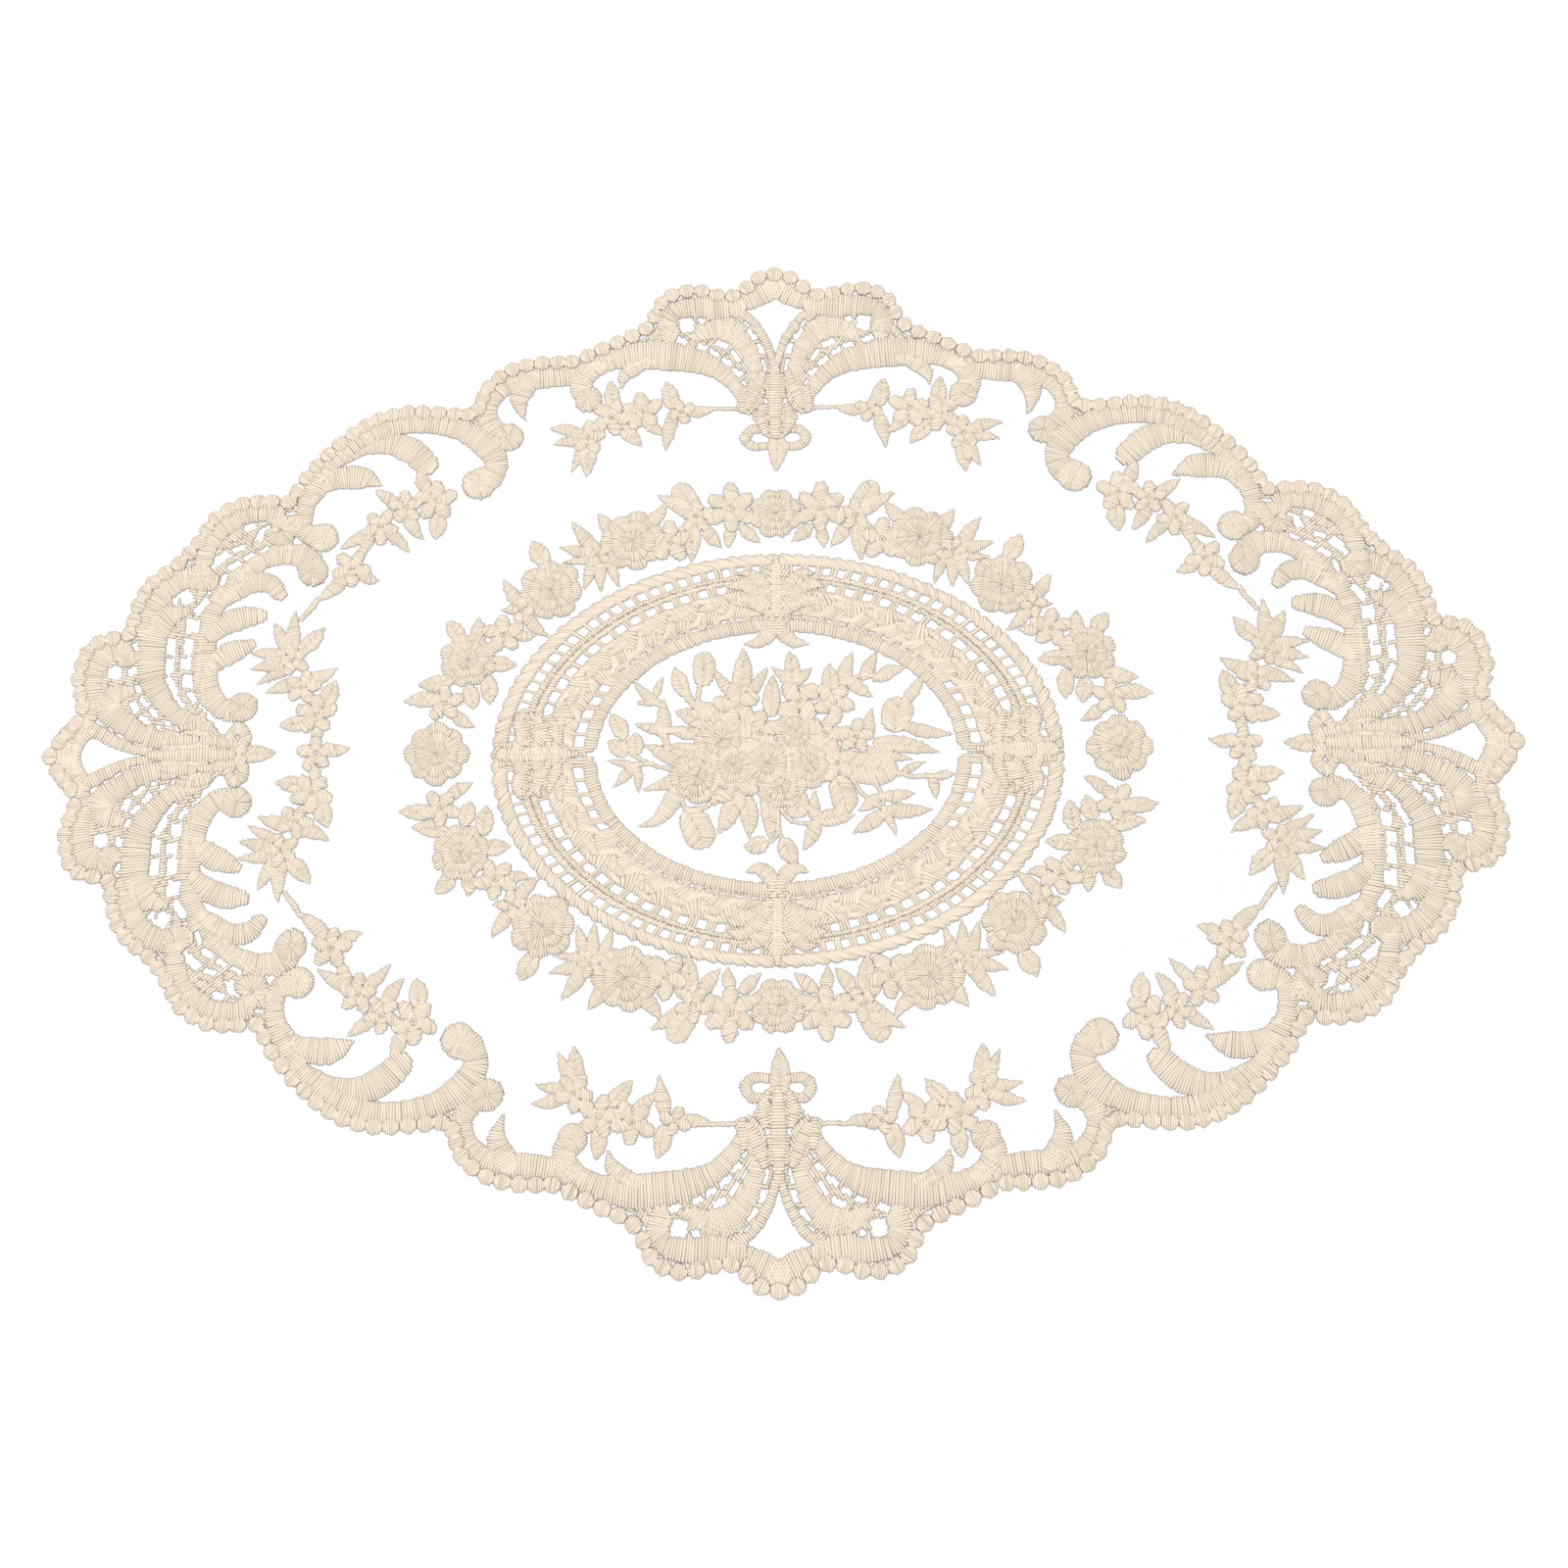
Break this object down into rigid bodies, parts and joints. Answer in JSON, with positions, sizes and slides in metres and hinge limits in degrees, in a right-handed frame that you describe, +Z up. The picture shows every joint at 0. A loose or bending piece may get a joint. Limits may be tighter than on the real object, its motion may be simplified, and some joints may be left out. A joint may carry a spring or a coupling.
{
  "type": "embroidered placemat",
  "caption": "Oval scalloped placemat of sheer cloth with satin-stitch scrolls, flower garlands, a wreath and an oval medallion round a bouquet, edged with small round picots.",
  "frame": {"origin": "centre of the mat's outline, on its flat underside", "axes": "+X along the long side, +Y towards the top of the pattern in the picture, +Z up from the underside through the stitched face"},
  "size_m": [0.4508, 0.3222, 0.002],
  "materials": {
    "stitching": "cream rayon satin-stitch embroidery, soft sheen along the threads",
    "ground": "sheer white organza, fine plain weave, see-through"
  },
  "bodies": {
    "root": {"placemat": "stitching"}
  },
  "joints": []
}
